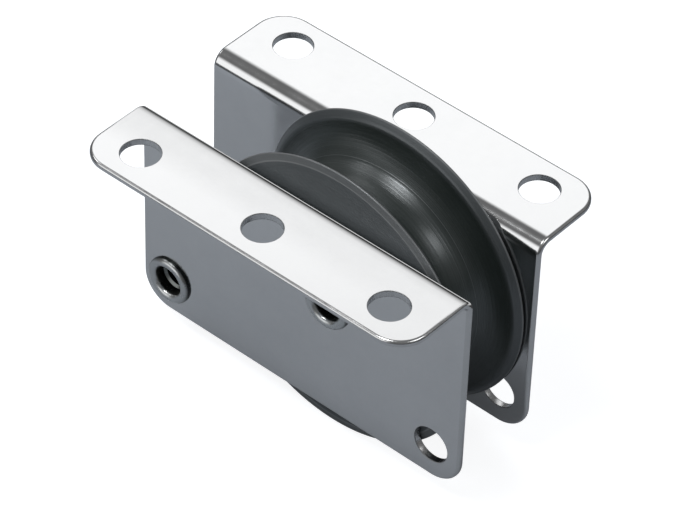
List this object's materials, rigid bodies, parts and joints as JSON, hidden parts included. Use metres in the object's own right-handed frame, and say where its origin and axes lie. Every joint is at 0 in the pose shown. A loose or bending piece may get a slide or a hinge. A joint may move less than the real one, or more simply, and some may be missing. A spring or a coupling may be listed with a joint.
{
  "type": "sheave exit box",
  "caption": "Grooved rope wheel turning between riveted sheet-metal cheeks with screw flanges; it drops into a slot and leads a rope out of it.",
  "frame": {"origin": "centre of the four corner holes of the flanges, on the plane that the flanges seat on", "axes": "+X along the cheeks towards the end with the bare corner holes, +Y across the cheeks towards the far cheek, +Z out of the mast or deck; the axle lies along Y"},
  "size_m": [0.064, 0.046, 0.05],
  "materials": {
    "polished_cheek": "mirror-polished stainless steel",
    "tube_steel": "drawn stainless tube",
    "rivet_steel": "rolled and polished stainless steel",
    "black_acetal": "turned black acetal, satin"
  },
  "bodies": {
    "box": {"near_cheek": "polished_cheek", "far_cheek": "polished_cheek", "axle_sleeve": "tube_steel", "corner_spacer": "tube_steel", "axle_rivet": "rivet_steel", "corner_rivet": "rivet_steel"},
    "sheave": {"sheave": "black_acetal"}
  },
  "joints": [
    {"name": "sheave_spin", "type": "hinge", "parent": "box", "child": "sheave", "pos_m": [0.0057, 0, -0.0165], "axis": [0, 1, 0], "continuous": true}
  ]
}
